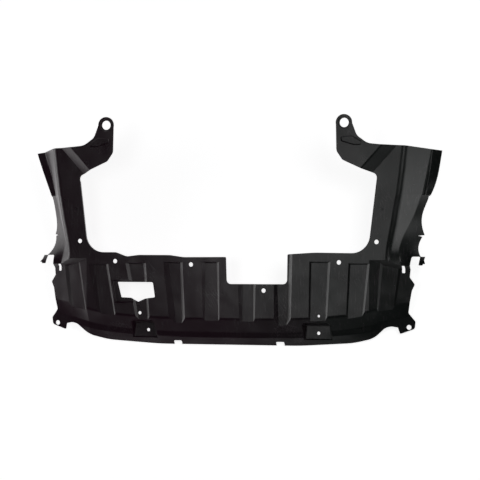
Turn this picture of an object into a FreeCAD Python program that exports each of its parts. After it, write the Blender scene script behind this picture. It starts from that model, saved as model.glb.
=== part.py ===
import FreeCAD, Part
import math
import os
from FreeCAD import Vector

# An engine splash shield, moulded in one piece from a thin sheet. It lies as it
# comes to rest, with its road side up. X runs across the car, Y to the rear.
# The pan is modelled level, and the whole is tipped onto its resting points last.

# Sheet
wall = 2.6
fold_radius = 9.0
base_level = -175.0
air = 20.0
sliver = 0.12
overlap = 10.0

# Pan: plateau, falling side panels, front step, ledge and lip
side_fold = 400.0
side_slope = 0.30
pan_rear = -48.0
step_drop = 22.0
step_run = 38.0
ledge_fall = 2.0
lip_width = 30.0
step_radius = 14.0
strip_rear = 40.0
side_step_share = 0.45

# Arms and their outer walls
arm_root = 430.0
arm_rear = 275.0
arm_joint = 122.0
arm_front = -100.0
shoulder_radius = 20.0
foot_radius = 4.0
wing_reach = 210.0
ramp_start = -52.0
ramp_angle = 50.0

# Ears
ear_rise = 24.0
ear_ramp_width = 27.0
ear_ramp_foot = (409.0, 180.0)
ear_ramp_heading = 47.5
ear_bend_radius = 7.0
ear_reach = 200.0
ear_hole_at = (336.0, 313.0)
ear_radius = 22.5
ear_hole_radius = 12.5
ear_seat_radius = 17.5
ear_seat_depth = 3.0
dish_depth = 3.0
dish_spread = 0.6
seat_draft = 2.7

# Clip holes
arm_hole_at = (420.0, -4.0)
pan_hole_at = (317.0, -59.0)
clip_hole_radius = 6.0
lug_hole_at = (500.0, -231.0)
lug_hole_radius = 6.5
slot_at = (488.0, -77.0)
slot_size = (8.0, 19.0)
slot_corner = 2.0

# Pips on the arms, and the lip along the inner edges
pip_at = (433.0, 82.0)
pip_radius = 3.5
pip_rise = 2.0
lip_depth = 6.0
lip_spans = [(-440, -10), (196, 440)]
lip_front = -60.0
lip_rear = 160.0

# Channels: their sides slope, their rear end stands nearly upright
channel_edge = 2.0
channel_depth = 6.0
right_run = 9.0
rear_lean = 0.25
step_line = -245.0

# Screw pockets, the margin of the opening and the pad
pocket_depth = 34.0
pocket_run = 9.0
pocket_edge = 4.0
pocket_hole_radius = 4.5
margin_depth = 5.0
margin_run = 3.0
pad_level = -3.5
pad_hole_radius = 3.5


def cross(a, b, c):
    """Twice the signed area of a flat triangle: above zero where the path turns left."""
    return (b[0] - a[0]) * (c[1] - a[1]) - (b[1] - a[1]) * (c[0] - a[0])


def corner_arc(before, corner, after, radius):
    """Start, middle, end and centre of the arc that rounds a corner of a flat path."""
    a = Vector(before[0] - corner[0], before[1] - corner[1], 0).normalize()
    b = Vector(after[0] - corner[0], after[1] - corner[1], 0).normalize()
    half = a.getAngle(b) / 2
    reach = radius / math.tan(half)
    c = Vector(corner[0], corner[1], 0)
    bisector = (a + b).normalize()
    centre = c + bisector * (radius / math.sin(half))
    return c + a * reach, centre - bisector * radius, c + b * reach, centre


def rounded_wire(points, place):
    """Closed wire through (u, v, radius) corners; place maps u, v to space."""
    count = len(points)
    stops = []
    for i, (u, v, radius) in enumerate(points):
        if radius:
            first, middle, last, _ = corner_arc(points[i - 1], (u, v), points[(i + 1) % count], radius)
            stops.append((place(first.x, first.y), place(middle.x, middle.y), place(last.x, last.y)))
        else:
            stops.append((place(u, v), None, place(u, v)))
    edges = []
    for i, (first, middle, last) in enumerate(stops):
        if middle:
            edges.append(Part.Arc(first, middle, last).toShape())
        start = stops[(i + 1) % count][0]
        if (start - last).Length > 1e-6:
            edges.append(Part.LineSegment(last, start).toShape())
    return Part.Wire(edges)


def level(height):
    return lambda u, v: Vector(u, v, height)


def prism(points, low, high):
    """Upright solid on a rounded plan outline."""
    face = Part.Face(rounded_wire(points, level(low)))
    return face.extrude(Vector(0, 0, high - low))


def across(points):
    """The same corners on the other side of the car, still in order."""
    return [(-u, v, radius) for u, v, radius in reversed(points)]


def both_sides(shape):
    return [shape, shape.mirror(Vector(0, 0, 0), Vector(1, 0, 0))]


def offset_path(points, distance):
    """Path moved to its right by distance; corners stay mitred and radii concentric."""
    lines = []
    for (u0, v0, _), (u1, v1, _) in zip(points, points[1:]):
        length = math.hypot(u1 - u0, v1 - v0)
        du, dv = (u1 - u0) / length, (v1 - v0) / length
        lines.append((u0 + dv * distance, v0 - du * distance, du, dv, length))
    moved = [(lines[0][0], lines[0][1], 0)]
    for i in range(1, len(lines)):
        u0, v0, du0, dv0, _ = lines[i - 1]
        u1, v1, du1, dv1, _ = lines[i]
        turn = du0 * dv1 - dv0 * du1
        step = ((u1 - u0) * dv1 - (v1 - v0) * du1) / turn
        radius = points[i][2] + math.copysign(distance, turn)
        moved.append((u0 + du0 * step, v0 + dv0 * step, radius))
    u_end, v_end, _ = points[-1]
    du, dv = lines[-1][2:4]
    moved.append((u_end + dv * distance, v_end - du * distance, 0))
    return moved


def skin_section(path, place, under):
    """Closed section below a skin path that falls to its end. With under, it is the
    hollow below the sheet, and its end cuts the sheet off square at the path's end."""
    (u0, v0, _), (u1, v1, _) = path[-2], path[-1]
    length = math.hypot(u1 - u0, v1 - v0)
    du, dv = (u1 - u0) / length, (v1 - v0) / length
    if under:
        points = offset_path(path, wall)
        lift = 2 * wall
        points.append((u1 - dv * lift, v1 + du * lift, 0))
        points.append((u1 + 3 * air, v1 + du * lift, 0))
        floor = base_level - air
    else:
        points = path[:-1] + [(u1 + du * wall, v1 + dv * wall, 0)]
        floor = base_level
    points.append((points[-1][0], floor, 0))
    points.append((points[0][0], floor, 0))
    return rounded_wire(points, place)


def front_path(top, brow, brow_level, hem, hem_level):
    """Skin of an arm's front part across the car: plateau, shoulder, slope and sloping wall."""
    return [(arm_root, 0, 0), (top, 0, shoulder_radius), (brow, brow_level, fold_radius), (hem, hem_level, 0)]


def rear_path(top, brow, brow_level, foot, foot_level, hem, hem_level):
    """Skin of an arm's rear part: as the front, but with a steep wall on a narrow flange."""
    path = front_path(top, brow, brow_level, foot, foot_level)[:-1]
    return path + [(foot, foot_level, foot_radius), (hem, hem_level, 0)]


# Each station of the arm: its place, the shoulder, the break of the wall, its foot and its hem
rear_stations = [
    (arm_rear, rear_path(499, 556, -71, 560, -78, 588, -80)),
    (225, rear_path(495, 547, -75, 551, -85, 576, -87)),
    (172, rear_path(490, 535, -81, 540, -100, 563, -102)),
    (arm_joint, rear_path(484, 524, -81, 529, -100, 543, -102)),
]
front_stations = [
    (arm_joint, front_path(484, 524, -81, 541, -98)),
    (88, front_path(478, 512, -74, 530, -92)),
    (53, front_path(472, 500, -62, 523, -88)),
    (5, front_path(463, 480, -40, 534, -96)),
    (-43, front_path(451, 478, -22, 562, -52)),
    (arm_front, front_path(446, 478, -16, 562, -45)),
]
# Below the wing's slanting edge, as (y, z), with a slit between its tip and the wall
wing_cut = [(16, -110), (13, -80), (10, -89), (-43, -41), (-44, -70), (-44, -180), (16, -180)]


def arm_loft(stations, under):
    """Loft through the arm's stations. The hollows meet in front of the joint of the two
    lofts, so that a web as thick as the wall closes the step between them."""
    wires = []
    for y, path in stations:
        if under and y == arm_joint:
            y -= wall
        wires.append(skin_section(path, lambda u, v, y=y: Vector(u, y, v), under))
    return Part.makeLoft(wires, True, False)


def arm(under):
    """One arm with the plateau's side part, its front end ramped down to the pan."""
    solid = arm_loft(rear_stations, under).fuse(arm_loft(front_stations, under))
    depth = wall if under else 0
    inner = side_fold - overlap
    root = [(inner, arm_front, 0), (arm_root, arm_front, 0), (arm_root, arm_rear, 0), (inner, arm_rear, 0)]
    solid = solid.fuse(prism(root, base_level, -depth))
    angle = math.radians(ramp_angle)
    drop = Vector(0, -math.cos(angle), -math.sin(angle))
    inward = Vector(0, math.sin(angle), -math.cos(angle)) * depth
    edge = Vector(inner - overlap, ramp_start, 0) + inward
    top = edge - drop * overlap
    foot = edge + drop * 6 * air
    corners = [top, foot, Vector(edge.x, arm_front - 2 * air, foot.z), Vector(edge.x, arm_front - 2 * air, top.z)]
    ramp = Part.Face(Part.makePolygon(corners + [top])).extrude(Vector(wing_reach + 5 * air, 0, 0))
    return solid.cut(ramp)


def pan_path(x, step_at, ledge_width, lip_fall):
    """Skin of the pan from the rear to the front at one place across the car."""
    fall = max(0.0, x - side_fold) * side_slope
    drop = step_drop - side_step_share * fall
    foot = step_at - step_run
    ledge = foot - ledge_width
    return [
        (-pan_rear, -fall, 0),
        (-step_at, -fall, step_radius),
        (-foot, -fall - drop, fold_radius),
        (-ledge, -fall - drop - ledge_fall, fold_radius),
        (-ledge + lip_width, -fall - drop - ledge_fall - lip_fall, 0),
    ]


# Each station of the pan: its place, the head of the front step, ledge width, fall of the lip
middle_stations = [(0, -214, 12, 20), (150, -213, 12, 20), (250, -209, 12, 20), (330, -202, 13, 19), (400, -189, 15, 16)]
side_stations = [(400, -189, 15, 16), (425, -182, 18, 14), (475, -170, 29, 9), (540, -158, 41, 7)]


def pan_loft(stations, side, under):
    wires = []
    for x, step_at, ledge, fall in stations:
        place = lambda u, v, x=x: Vector(side * x, -u, v)
        wires.append(skin_section(pan_path(abs(x), step_at, ledge, fall), place, under))
    return Part.makeLoft(wires, True, False)


def pan(under):
    """The pan's three lofts and the flat strip between the arms' roots."""
    mirrored = [(-station[0],) + station[1:] for station in reversed(middle_stations[1:])]
    solids = [pan_loft(mirrored + middle_stations, 1, under)]
    for side in (-1, 1):
        solids.append(pan_loft(side_stations, side, under))
    depth = wall if under else 0
    edge = side_fold - overlap
    strip = [(-edge, pan_rear, 0), (edge, pan_rear, 0), (edge, strip_rear, 0), (-edge, strip_rear, 0)]
    solids.append(prism(strip, base_level, -depth))
    return solids[0].multiFuse(solids[1:])


def ear_ramp(under):
    """Raised ear: a ramp up from the arm's plateau along a slanting line, then a flat."""
    margin = air if under else 0
    slope = ear_rise / ear_ramp_width
    path = [
        (-air, -air * slope, 0),
        (ear_ramp_width, ear_rise, ear_bend_radius),
        (ear_reach + margin, ear_rise, 0),
    ]
    if under:
        path = offset_path(path, wall)
    path += [(path[-1][0], base_level - margin, 0), (path[0][0], base_level - margin, 0)]
    heading = math.radians(ear_ramp_heading)
    along = Vector(math.cos(heading), math.sin(heading), 0)
    up_ramp = Vector(-along.y, along.x, 0)
    start = Vector(*ear_ramp_foot, 0) - along * (3 * air + margin)
    face = Part.Face(rounded_wire(path, lambda u, v: start + up_ramp * u + Vector(0, 0, v)))
    return face.extrude(along * (ear_reach + 2 * margin))


# Plan outline. The right half runs from the front middle round to the inner corner
front_edge = [
    (200, -285, 800),
    (348, -275.5, 220),
    (405, -262, 70),
    (438, -232.5, 28),
    (454, -229, 20),
]
lug_edge = [(471, -232, 2), (476, -249, 3), (515, -235, 9), (517, -216, 7), (499, -193, 8)]
side_edge = [(509, -133, 4), (516.5, -117, 5), (503.5, -98, 6), (508.5, -43, 4), (530, -43, 3)]
hook_edge = [(530, -66, 1.5), (540, -66, 1), (541, -62.5, 0), (547, -62, 1), (542, -53, 1), (542, -43, 0)]
rear_edge = [(640, -43, 0), (640, 232, 0), (497, 252, 30), (435, 254.5, 60), (400, 258, 40), (371, 279, 25)]
ear_edge = [(358, 313, 0), (314, 313, 0), (315.5, 238, 20), (332, 214, 16), (385, 190, 40), (421.5, 175, 13)]
inner_corner = [(396.5, -34.5, 50)]
right_edge = front_edge + lug_edge + side_edge + hook_edge + rear_edge + ear_edge + inner_corner
notch_edge = [(173, -38, 3), (171.5, -118.5, 12), (4, -119, 12), (1.5, -46, 3)]
top_edge = [(250, -33, 300)] + notch_edge + [(-120, -47, 60), (-160, -41.5, 60), (-248, -41.5, 60)]
top_edge += [(-284, -46, 25), (-315, -34.5, 25)]
outline = right_edge + top_edge + across(right_edge)
clip_notch = [(134, -330, 0), (157, -330, 0), (157, -275, 3), (134, -275, 3)]


def inset(points, distance):
    """Closed outline moved inwards, its corner radii kept concentric."""
    loop = [points[-1]] + points + [points[0], points[1]]
    moved = []
    for before, corner, after in zip(loop, loop[1:], loop[2:]):
        turn = cross(before, corner, after)
        radius = corner[2] - distance * math.copysign(1, turn)
        path = offset_path([before, corner, after], -distance)
        moved.append((path[1][0], path[1][1], max(radius, 1.0) if corner[2] else 0))
    return moved[:len(points)]


def drafted(points, low, high, run):
    """Drafted solid: the outline at high, moved in by run at low, its corners conical."""
    rims = []
    cones = []
    for i, (u, v, radius) in enumerate(points):
        if not radius:
            moved = inset(points, run)[i]
            rims.append([(Vector(u, v, high), Vector(moved[0], moved[1], low))])
            continue
        first, _, last, centre = corner_arc(points[i - 1], (u, v), points[(i + 1) % len(points)], radius)
        shrink = (radius - run) / radius
        stops = []
        for stop in (first, centre, last):
            foot = centre + (stop - centre) * shrink
            stops.append((Vector(stop.x, stop.y, high), Vector(foot.x, foot.y, low)))
        rims.append(stops)
        start = math.degrees(math.atan2(first.y - centre.y, first.x - centre.x))
        span = math.degrees((first - centre).getAngle(last - centre))
        base = Vector(centre.x, centre.y, low)
        cone = Part.makeCone(radius - run, radius, high - low, base, Vector(0, 0, 1), span)
        cone.rotate(base, Vector(0, 0, 1), start)
        cones.append(cone)
    pairs = [pair for stops in rims for pair in stops]
    loops = [[top for top, _ in pairs], [foot for _, foot in pairs]]
    for i in range(len(pairs)):
        loops.append([pairs[i - 1][0], pairs[i][0], pairs[i][1], pairs[i - 1][1]])
    faces = [Part.Face(Part.makePolygon(loop + loop[:1])) for loop in loops]
    core = Part.Solid(Part.Shell(faces))
    return core.multiFuse(cones).removeSplitter() if cones else core


def eased(hollow, footprint, low, edge, open_end=None):
    """The hollow as a tool that leaves its brim and floor edges rounded. At open_end,
    across the car, it runs out of the footprint."""
    block = prism(footprint, low, sliver).cut(hollow)
    rims = []
    for item in block.Edges:
        box = item.BoundBox
        middle = item.valueAt((item.FirstParameter + item.LastParameter) / 2)
        if open_end is not None and middle.y < open_end + 0.01:
            continue
        if box.ZMax - box.ZMin < 0.4 * item.Length and hollow.distToShape(Part.Vertex(middle))[0] < 1e-5:
            rims.append(item)
    return prism(footprint, low, air).cut(block.makeFillet(edge, rims))


def recess(points, depth, run, under, edge):
    """Tool for a drafted recess in a level skin, with rounded brim and floor edges.
    With under, it is grown by the wall, for the hollow below the sheet."""
    if under:
        draft = math.atan2(run, depth)
        brim = inset(points, -wall / math.cos(draft) - air * run / depth)
        return drafted(brim, -depth - wall, air, (depth + wall + air) * run / depth)
    brim = inset(points, -sliver * run / depth)
    hollow = drafted(brim, -depth, sliver, (depth + sliver) * run / depth)
    if not edge:
        return hollow
    return eased(hollow, inset(points, -edge - sliver), -depth - edge, edge)


def channel(left, right, rear, front, front_depth, left_run, under):
    """A channel with sloping sides, open at its front. left and right are each the places
    across the car of one brim, at the rear and at the step line."""
    grown = wall if under else 0
    top = air if under else sliver

    def stop(brim, slope, y, z):
        share = (rear - y) / (rear - step_line)
        middle = brim[0] + (brim[1] - brim[0]) * share
        return Vector(middle - slope * z - math.copysign(grown * math.hypot(1, slope), slope), y, z)

    slopes = (left_run / channel_depth, -right_run / channel_depth)
    back = rear + grown
    floors = (-channel_depth - grown, -front_depth - grown)
    rings = []
    ends = ((back + rear_lean * top, back + rear_lean * floors[0]), (front, front))
    for (y_top, y_floor), floor in zip(ends, floors):
        ring = [stop(left, slopes[0], y_top, top), stop(left, slopes[0], y_floor, floor)]
        ring += [stop(right, slopes[1], y_floor, floor), stop(right, slopes[1], y_top, top)]
        rings.append(ring)
    loops = rings + [[rings[0][i - 1], rings[0][i], rings[1][i], rings[1][i - 1]] for i in range(4)]
    faces = [Part.Face(Part.makePolygon(loop + loop[:1])) for loop in loops]
    hollow = Part.Solid(Part.Shell(faces))
    if hollow.Volume < 0:
        hollow.reverse()
    if under:
        return hollow
    margin = 2 * channel_edge
    end = front + margin
    brims = [stop(brim, 0.0, y, 0).x for brim in (left, right) for y in (rear, end)]
    footprint = [(brims[0] - margin, rear + margin, 0), (brims[1] - margin, end, 0)]
    footprint += [(brims[3] + margin, end, 0), (brims[2] + margin, rear + margin, 0)]
    return eased(hollow, footprint, -max(channel_depth, front_depth) - channel_edge, channel_edge, end)


# Each channel: its left and right brim, rear end, front end, depth there, run of its left side
channels = [
    ((-395, -357), (-337, -309), -67, -226, 2.5, 15),
    ((-287, -250), (-228, -214), -64, -230, 4.5, 9),
    ((-177, -157), (-122, -113), -61, -245, 8.0, 13.5),
    ((-68, -62), (-18, -16), -60, -232, 2.5, 9),
    ((35, 41), (86, 83), -100, -234, 3.5, 12),
    ((135, 138), (189, 184), -15, -245, 10.0, 6),
    ((236, 234), (294, 283), -58, -228, 4.5, 3),
    ((344, 336), (402, 382), -62, -228, 4.5, 3),
]
# The same on the side panels, left and right
side_channels = [
    (-1, (422, 392), (475, 447), -62, -210, 3.0, 9),
    (1, (428, 416), (486, 456), -58, -210, 3.0, 9),
]
screw_pockets = [
    [(-274, -217, 12), (-284, -276, 0), (-192, -276, 0), (-206, -217, 12)],
    [(211, -219, 12), (205, -276, 0), (303, -276, 0), (293, -219, 12)],
]
ear_dish = [(328, 263, 6), (364, 252.5, 15), (383, 253, 4), (384, 264, 4), (359, 279, 12), (326, 277, 6)]
opening = [
    (-311, -116, 2), (-300, -158, 2), (-272, -159, 8), (-251, -170, 5), (-231, -161, 8),
    (-201, -157, 3), (-207, -116, 5),
]
opening_margin = [(-328, -110, 5), (-318, -173, 5), (-262, -173, 5), (-262, -110, 5)]
pad = [(238, -214, 3), (282, -214, 3), (283, -194, 3), (237, -194, 3)]


def recesses(under):
    """Tools for every channel, the opening's margin and the two screw pockets."""
    tools = []
    for left, right, rear, front, depth, run in channels:
        tools.append(channel(left, right, rear, front, depth, run, under))
    tools.append(recess(opening_margin, margin_depth, margin_run, under, channel_edge))
    for points in screw_pockets:
        tools.append(recess(points, pocket_depth, pocket_run, under, pocket_edge))
    tilt = math.degrees(math.atan(side_slope))
    stretch = math.hypot(1, side_slope)
    for side, inner, outer, rear, front, depth, run in side_channels:
        inner = [(x - side_fold) * stretch for x in inner]
        outer = [(x - side_fold) * stretch for x in outer]
        tool = channel(inner, outer, rear, front, depth, run, under)
        tool.rotate(Vector(0, 0, 0), Vector(0, 1, 0), tilt)
        tool.translate(Vector(side_fold, 0, 0))
        if side < 0:
            tool = tool.mirror(Vector(0, 0, 0), Vector(1, 0, 0))
        tools.append(tool)
    return tools


single_holes = [
    (-98, -67, clip_hole_radius),
    (108, -136, clip_hole_radius),
    (-246, -200, pocket_hole_radius),
    (-231, -247, pocket_hole_radius),
    (253, -250, pocket_hole_radius),
    (261, -203, pad_hole_radius),
]


def hole(x, y, radius):
    return Part.makeCylinder(radius, 2 * air + ear_rise - base_level, Vector(x, y, base_level))


def holes():
    tools = []
    for side in (-1, 1):
        tools.append(hole(side * ear_hole_at[0], ear_hole_at[1], ear_hole_radius))
        tools.append(hole(side * arm_hole_at[0], arm_hole_at[1], clip_hole_radius))
        tools.append(hole(side * pan_hole_at[0], pan_hole_at[1], clip_hole_radius))
        tools.append(hole(side * lug_hole_at[0], lug_hole_at[1], lug_hole_radius))
        half_x, half_y = slot_size[0] / 2, slot_size[1] / 2
        x, y = side * slot_at[0], slot_at[1]
        slot = [(x - half_x, y - half_y, slot_corner), (x + half_x, y - half_y, slot_corner)]
        slot += [(x + half_x, y + half_y, slot_corner), (x - half_x, y + half_y, slot_corner)]
        tools.append(prism(slot, base_level, air))
    for x, y, radius in single_holes:
        tools.append(hole(x, y, radius))
    tools.append(prism(opening, base_level, air))
    return tools


def trim():
    """Upright solid on the whole plan outline, ears included."""
    solid = prism(outline, base_level - air, 2 * air + ear_rise)
    ears = []
    for side in (-1, 1):
        centre = Vector(side * ear_hole_at[0], ear_hole_at[1], base_level - air)
        ears.append(Part.makeCylinder(ear_radius, 3 * air + ear_rise - base_level, centre))
    solid = solid.multiFuse(ears)
    return solid.cut(Part.makeCompound(both_sides(prism(clip_notch, base_level - air, 0))))


def inner_lip():
    """Lip turned down along the inner edge of the arms and the rear edge of the pan."""
    band = prism(outline, -lip_depth, -wall / 2).cut(prism(inset(outline, wall), -lip_depth, -wall / 2))
    spans = []
    for left, right in lip_spans:
        zone = [(left, lip_front, 0), (right, lip_front, 0), (right, lip_rear, 0), (left, lip_rear, 0)]
        spans.append(prism(zone, -lip_depth, 0))
    return band.common(Part.makeCompound(spans))


def ear_recesses(under):
    """The sunk seat round each ear's hole and the long dish below it."""
    grown = wall if under else 0
    spread = grown * dish_spread
    tools = []
    for side in (-1, 1):
        low = ear_rise - ear_seat_depth - grown
        base = Vector(side * ear_hole_at[0], ear_hole_at[1], low)
        height = ear_seat_depth + grown + 1
        foot = ear_seat_radius - seat_draft * ear_seat_depth / (ear_seat_depth + 1)
        tools.append(Part.makeCone(foot + spread, foot + seat_draft + spread, height, base))
        points = ear_dish if side > 0 else across(ear_dish)
        dish = recess(points, dish_depth, dish_depth, under, 0)
        dish.translate(Vector(0, 0, ear_rise))
        tools.append(dish)
    return tools


def pips():
    """A small raised locating pip on each arm."""
    solids = []
    for side in (-1, 1):
        base = Vector(side * pip_at[0], pip_at[1], -1)
        solids.append(Part.makeCone(pip_radius + 1, pip_radius, 1 + pip_rise, base))
    return solids


def rest_turn(body):
    """Angle about X that lays the body on its lowest points either side of its weight."""
    points = sorted({(round(p.y, 3), round(p.z, 3)) for p in body.tessellate(0.5)[0]})
    hull = []
    for point in points:
        while len(hull) > 1 and cross(hull[-2], hull[-1], point) <= 0:
            hull.pop()
        hull.append(point)
    middle = body.CenterOfMass.y
    for (y0, z0), (y1, z1) in zip(hull, hull[1:]):
        if y0 <= middle <= y1:
            return -math.degrees(math.atan2(z1 - z0, y1 - y0))
    return 0.0


def skin_solid(under):
    """Everything below the sheet's upper skin or, with under, below its lower skin."""
    solid = pan(under).cut(recesses(under))
    solid = solid.multiFuse(both_sides(arm(under)) + both_sides(ear_ramp(under)))
    return solid.cut(ear_recesses(under))


def wing_cuts():
    """Tools that cut the wall away below the slanting edge of each wing."""
    corners = [Vector(arm_root, y, z) for y, z in wing_cut + wing_cut[:1]]
    return both_sides(Part.Face(Part.makePolygon(corners)).extrude(Vector(wing_reach, 0, 0)))


def shield():
    """The whole sheet, still with its pan level."""
    sheet = skin_solid(False).common(trim()).cut(skin_solid(True))
    sheet = sheet.fuse(prism(pad, -channel_depth - wall, pad_level))
    sheet = sheet.cut(holes() + wing_cuts())
    return sheet.multiFuse([inner_lip()] + pips()).Solids[0]


def lay_down(body):
    """Tips the body onto its resting points, with its middle over the origin."""
    body.rotate(Vector(0, 0, 0), Vector(1, 0, 0), rest_turn(body))
    box = body.BoundBox
    body.translate(Vector(0, -(box.YMin + box.YMax) / 2, -box.ZMin))
    return body


if __name__ == "__main__":
    os.makedirs("parts", exist_ok=True)
    body = lay_down(shield())
    print(body.isValid(), len(body.Faces), body.BoundBox, body.CenterOfMass)
    body.exportStep("parts/splash_shield.step")
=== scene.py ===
import math

import bmesh
import bpy
from mathutils import Matrix, Vector

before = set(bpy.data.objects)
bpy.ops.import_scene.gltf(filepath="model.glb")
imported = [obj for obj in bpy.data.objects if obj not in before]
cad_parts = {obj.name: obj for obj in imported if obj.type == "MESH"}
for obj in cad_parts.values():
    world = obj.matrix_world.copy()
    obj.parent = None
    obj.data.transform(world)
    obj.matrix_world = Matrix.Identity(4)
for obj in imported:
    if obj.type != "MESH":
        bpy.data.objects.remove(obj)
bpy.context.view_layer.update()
print("frame loaded:", ", ".join(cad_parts))


def linearColour(hexValue):
    # sRGB hex to Blender's linear colour
    channels = [int(hexValue[i:i + 2], 16) / 255 for i in (1, 3, 5)]
    linear = [c / 12.92 if c <= 0.04045 else ((c + 0.055) / 1.055) ** 2.4 for c in channels]
    return (*linear, 1.0)


def addNode(tree, kind, settings=None, links=None):
    # a node with its properties, its socket values and what feeds its sockets
    node = tree.nodes.new(kind)
    for name, value in (settings or {}).items():
        if isinstance(name, str) and hasattr(node, name) and name not in node.inputs:
            setattr(node, name, value)
        else:
            node.inputs[name].default_value = value
    for name, source in (links or {}).items():
        tree.links.new(source, node.inputs[name])
    return node


# moulded polypropylene
# Black PP copolymer out of a spark-eroded mould: a soft satin sheen that only brightens at a
# flat angle, cloudy flow marks, pale rub marks and scratches from stacking, and a little dust.
# Over all this lies a painted colour cast of the light, warm on the left half and cool on the right.
plastic = {
    "darkest": "#121113",
    "lightest": "#1C1B1E",
    "warmLightCast": "#301424",     # painted colour cast of the light on the left half
    "coolLightCast": "#171E1A",     # painted colour cast of the light on the right half
    "rubbed": "#3E383C",
    "scratched": "#484246",
    "dust": "#5A5A5C",
    "roughness": 0.28,
    "grainSize": 2.2,     # mm; the real grain is 0.3 mm, drawn coarser so that it shows
    "grainDepth": 0.3,    # mm
    "warpSize": 71.4,     # mm across a shallow wave of the thin sheet
    "warpDepth": 6.0,     # mm, at a strength of about a third
    "cloudSize": 90.0,    # mm across a flow mark
    "driftSize": 250.0,   # mm over which the hue drifts
    "patchSize": 166.7,   # mm across a rubbed or dusty patch
    "scratchPatch": 90.9,  # mm across a scratched patch
    "rubLength": 45.0,    # mm along a rub mark
    "scratchGap": 6.0,    # mm between scratches; real ones are 0.2 mm wide, drawn near 0.5
    "scratchLength": 150.0,
    "dustSpacing": 19.0,  # mm between specks
    # share of the painted colour cast of the light in the base colour
    "lightCastShare": 0.62,
}


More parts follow.
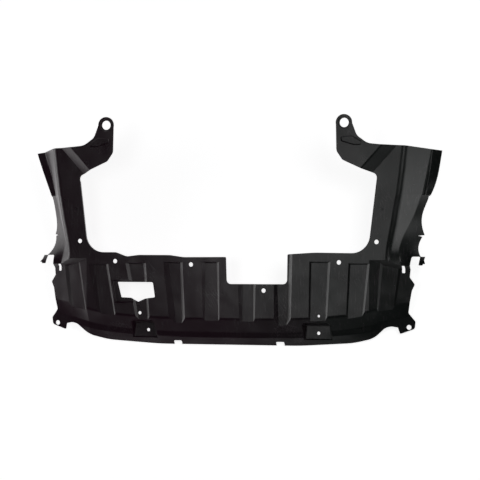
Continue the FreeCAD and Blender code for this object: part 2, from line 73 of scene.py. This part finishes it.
def mouldedPolypropylene():
    p = plastic
    material = bpy.data.materials.new("moulded_polypropylene")
    material.use_nodes = True
    tree = material.node_tree
    tree.nodes.clear()
    place = addNode(tree, "ShaderNodeTexCoord").outputs["Object"]

    clouds = addNode(tree, "ShaderNodeTexNoise", {"Scale": 1000 / p["cloudSize"], "Detail": 3.0, "Roughness": 0.55},
                     {"Vector": place})
    base = addNode(tree, "ShaderNodeValToRGB", links={"Fac": clouds.outputs["Fac"]})
    base.color_ramp.elements[0].position = 0.35
    base.color_ramp.elements[0].color = linearColour(p["darkest"])
    base.color_ramp.elements[1].position = 0.70
    base.color_ramp.elements[1].color = linearColour(p["lightest"])

    # painted colour cast of the light: the hue drifts from warm on the left to cool on the right
    drift = addNode(tree, "ShaderNodeTexNoise", {"Scale": 1000 / p["driftSize"], "Detail": 1.0}, {"Vector": place})
    across = addNode(tree, "ShaderNodeSeparateXYZ", links={"Vector": place})
    moved = addNode(tree, "ShaderNodeMath", {"operation": "MULTIPLY_ADD", 1: 0.5},
                    {0: drift.outputs["Fac"], 2: across.outputs["X"]})
    side = addNode(tree, "ShaderNodeMapRange", {"From Min": 0.25, "From Max": 0.60}, {"Value": moved.outputs["Value"]})
    hue = addNode(tree, "ShaderNodeMix", {"data_type": "RGBA"}, {"Factor": side.outputs["Result"]})
    hue.inputs["A"].default_value = linearColour(p["warmLightCast"])
    hue.inputs["B"].default_value = linearColour(p["coolLightCast"])
    # mixes the painted colour cast of the light into the base colour
    lightCastTinted = addNode(tree, "ShaderNodeMix", {"data_type": "RGBA", "Factor": p["lightCastShare"]},
                     {"A": base.outputs["Color"], "B": hue.outputs["Result"]})

    # rub marks run mostly to the front and rear
    stretched = addNode(tree, "ShaderNodeMapping", {"Scale": (9.0, 1.0, 4.0), "Rotation": (0.0, 0.0, 0.35)},
                        {"Vector": place})
    strokes = addNode(tree, "ShaderNodeTexNoise", {"Scale": 1000 / p["rubLength"], "Detail": 5.0, "Roughness": 0.6},
                      {"Vector": stretched.outputs["Vector"]})
    patches = addNode(tree, "ShaderNodeTexNoise", {"Scale": 1000 / p["patchSize"], "Detail": 2.0}, {"Vector": place})
    strokeMask = addNode(tree, "ShaderNodeMapRange", {"From Min": 0.54, "From Max": 0.72},
                         {"Value": strokes.outputs["Fac"]})
    patchMask = addNode(tree, "ShaderNodeMapRange", {"From Min": 0.46, "From Max": 0.62},
                        {"Value": patches.outputs["Fac"]})
    rubs = addNode(tree, "ShaderNodeMath", {"operation": "MULTIPLY"},
                   {0: strokeMask.outputs["Result"], 1: patchMask.outputs["Result"]})
    rubbed = addNode(tree, "ShaderNodeMix", {"data_type": "RGBA"},
                     {"Factor": rubs.outputs["Value"], "A": lightCastTinted.outputs["Result"]})
    rubbed.inputs["B"].default_value = linearColour(p["rubbed"])

    # scratches: the cell edges of a pattern drawn out along one slanting direction
    slanted = addNode(tree, "ShaderNodeMapping", {"Rotation": (0.0, 0.0, -0.5)}, {"Vector": place})
    drawnOut = addNode(tree, "ShaderNodeMapping", {"Scale": (1.0, p["scratchGap"] / p["scratchLength"], 1.0)},
                       {"Vector": slanted.outputs["Vector"]})
    lines = addNode(tree, "ShaderNodeTexVoronoi", {"feature": "DISTANCE_TO_EDGE", "Scale": 1000 / p["scratchGap"]},
                    {"Vector": drawnOut.outputs["Vector"]})
    lineMask = addNode(tree, "ShaderNodeMapRange", {"From Min": 0.06, "From Max": 0.01},
                       {"Value": lines.outputs["Distance"]})
    bare = addNode(tree, "ShaderNodeTexNoise", {"Scale": 1000 / p["scratchPatch"], "Detail": 3.0},
                   {"Vector": slanted.outputs["Vector"]})
    bareMask = addNode(tree, "ShaderNodeMapRange", {"From Min": 0.58, "From Max": 0.70}, {"Value": bare.outputs["Fac"]})
    scratches = addNode(tree, "ShaderNodeMath", {"operation": "MULTIPLY"},
                        {0: lineMask.outputs["Result"], 1: bareMask.outputs["Result"]})
    scratched = addNode(tree, "ShaderNodeMix", {"data_type": "RGBA"},
                        {"Factor": scratches.outputs["Value"], "A": rubbed.outputs["Result"]})
    scratched.inputs["B"].default_value = linearColour(p["scratched"])

    specks = addNode(tree, "ShaderNodeTexVoronoi", {"Scale": 1000 / p["dustSpacing"], "Randomness": 1.0},
                     {"Vector": place})
    speckMask = addNode(tree, "ShaderNodeMapRange", {"From Min": 0.07, "From Max": 0.03},
                        {"Value": specks.outputs["Distance"]})
    dusty = addNode(tree, "ShaderNodeMath", {"operation": "MULTIPLY"},
                    {0: speckMask.outputs["Result"], 1: patchMask.outputs["Result"]})
    coloured = addNode(tree, "ShaderNodeMix", {"data_type": "RGBA"},
                       {"Factor": dusty.outputs["Value"], "A": scratched.outputs["Result"]})
    coloured.inputs["B"].default_value = linearColour(p["dust"])

    sheen = addNode(tree, "ShaderNodeMapRange", {"To Min": p["roughness"] - 0.06, "To Max": p["roughness"] + 0.10},
                    {"Value": clouds.outputs["Fac"]})
    grain = addNode(tree, "ShaderNodeTexNoise", {"Scale": 1000 / p["grainSize"], "Detail": 2.0}, {"Vector": place})
    warp = addNode(tree, "ShaderNodeTexNoise", {"Scale": 1000 / p["warpSize"], "Detail": 1.0}, {"Vector": place})
    waves = addNode(tree, "ShaderNodeBump", {"Strength": 0.35, "Distance": p["warpDepth"] / 1000},
                    {"Height": warp.outputs["Fac"]})
    bump = addNode(tree, "ShaderNodeBump", {"Strength": 0.25, "Distance": p["grainDepth"] / 1000},
                   {"Height": grain.outputs["Fac"], "Normal": waves.outputs["Normal"]})

    shader = addNode(tree, "ShaderNodeBsdfPrincipled", {"IOR": 1.49},
                     {"Base Color": coloured.outputs["Result"], "Roughness": sheen.outputs["Result"],
                      "Normal": bump.outputs["Normal"]})
    addNode(tree, "ShaderNodeOutputMaterial", links={"Surface": shader.outputs["BSDF"]})
    return material


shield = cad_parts["splash_shield"]
shieldFinish = mouldedPolypropylene()
for slot in shield.material_slots:
    slot.material = shieldFinish
print("shield finished")


# stage, light and camera
studio = {
    "floorColour": "#F4F4F4",
    "floorSide": 14.0,     # m
    "skyTop": "#242426",
    "skyRim": "#F2F3F4",
    "skyRimEnd": 0.02,     # height of the direction at which the rim starts to fade
    "skyTopStart": 0.14,
    "floorGlow": 0.93,     # the floor is a lit table, so the shadows on it stay faint
    "lamps": {             # place and side in m, power in W
        "overhead": ((-0.5, -0.4, 3.0), 1.1, 6.0),
        "left": ((-2.2, -0.1, 0.45), 1.0, 9.0),   # low, so it strikes the walls of the channels
        "right": ((1.6, 0.3, 1.8), 1.0, 7.0),
    },
}
view = {
    "acrossTilt": 17.0,      # degrees the camera leans to the right of the pan's normal
    "distance": 6.41,        # m
    "target": (0.0415, 0.0, 0.0),   # on the pan while it is level
    "pictureWidth": 1.296,   # m across the picture at the target
    "roll": 0.18,            # degrees
    "restTilt": 10.3983,     # degrees the sheet is tipped at rest
    "restShift": (0.0, -0.026324, 0.093329),
}


def paleFloor():
    mesh = bpy.data.meshes.new("floor")
    form = bmesh.new()
    bmesh.ops.create_grid(form, x_segments=1, y_segments=1, size=studio["floorSide"] / 2)
    form.to_mesh(mesh)
    form.free()
    floor = bpy.data.objects.new("floor", mesh)
    floor.location.z = -0.0005
    bpy.context.scene.collection.objects.link(floor)
    material = bpy.data.materials.new("pale_floor")
    material.use_nodes = True
    shader = material.node_tree.nodes["Principled BSDF"]
    shader.inputs["Base Color"].default_value = linearColour(studio["floorColour"])
    shader.inputs["Roughness"].default_value = 0.9
    shader.inputs["Specular IOR Level"].default_value = 0.1
    shader.inputs["Emission Color"].default_value = linearColour(studio["floorColour"])
    shader.inputs["Emission Strength"].default_value = studio["floorGlow"]
    mesh.materials.append(material)


def softLamp(name, place, side, power):
    # a square lamp aimed at the middle of the floor
    data = bpy.data.lights.new(name, "AREA")
    data.shape = "SQUARE"
    data.size = side
    data.energy = power
    lamp = bpy.data.objects.new(name, data)
    lamp.location = place
    lamp.visible_camera = False
    lamp.rotation_euler = (-Vector(place)).to_track_quat("-Z", "Y").to_euler()
    bpy.context.scene.collection.objects.link(lamp)


def softSky():
    world = bpy.data.worlds.new("sky")
    world.use_nodes = True
    tree = world.node_tree
    tree.nodes.clear()
    place = addNode(tree, "ShaderNodeTexCoord").outputs["Generated"]
    parts = addNode(tree, "ShaderNodeSeparateXYZ", links={"Vector": place})
    ramp = addNode(tree, "ShaderNodeValToRGB", links={"Fac": parts.outputs["Z"]})
    ramp.color_ramp.elements[0].position = studio["skyRimEnd"]
    ramp.color_ramp.elements[0].color = linearColour(studio["skyRim"])
    ramp.color_ramp.elements[1].position = studio["skyTopStart"]
    ramp.color_ramp.elements[1].color = linearColour(studio["skyTop"])
    glow = addNode(tree, "ShaderNodeBackground", {"Strength": 1.0}, {"Color": ramp.outputs["Color"]})
    addNode(tree, "ShaderNodeOutputWorld", links={"Surface": glow.outputs["Background"]})
    bpy.context.scene.world = world


def photoCamera():
    lean = math.radians(view["acrossTilt"])
    back = Vector((math.sin(lean), 0.0, math.cos(lean)))
    up = Vector((0.0, 1.0, 0.0))
    right = up.cross(back)
    turn = Matrix((right, up, back)).transposed() @ Matrix.Rotation(math.radians(view["roll"]), 3, "Z")
    rest = Matrix.Rotation(math.radians(view["restTilt"]), 3, "X")
    place = rest @ (Vector(view["target"]) + back * view["distance"]) + Vector(view["restShift"])
    data = bpy.data.cameras.new("camera")
    data.sensor_width = 36.0
    data.lens = 36.0 * view["distance"] / view["pictureWidth"]
    camera = bpy.data.objects.new("camera", data)
    camera.matrix_world = Matrix.Translation(place) @ (rest @ turn).to_4x4()
    bpy.context.scene.collection.objects.link(camera)
    bpy.context.scene.camera = camera


paleFloor()
softSky()
for name, (place, side, power) in studio["lamps"].items():
    softLamp(name + "_lamp", place, side, power)
photoCamera()
bpy.context.scene.view_settings.view_transform = "Standard"
print("stage, light and camera set")
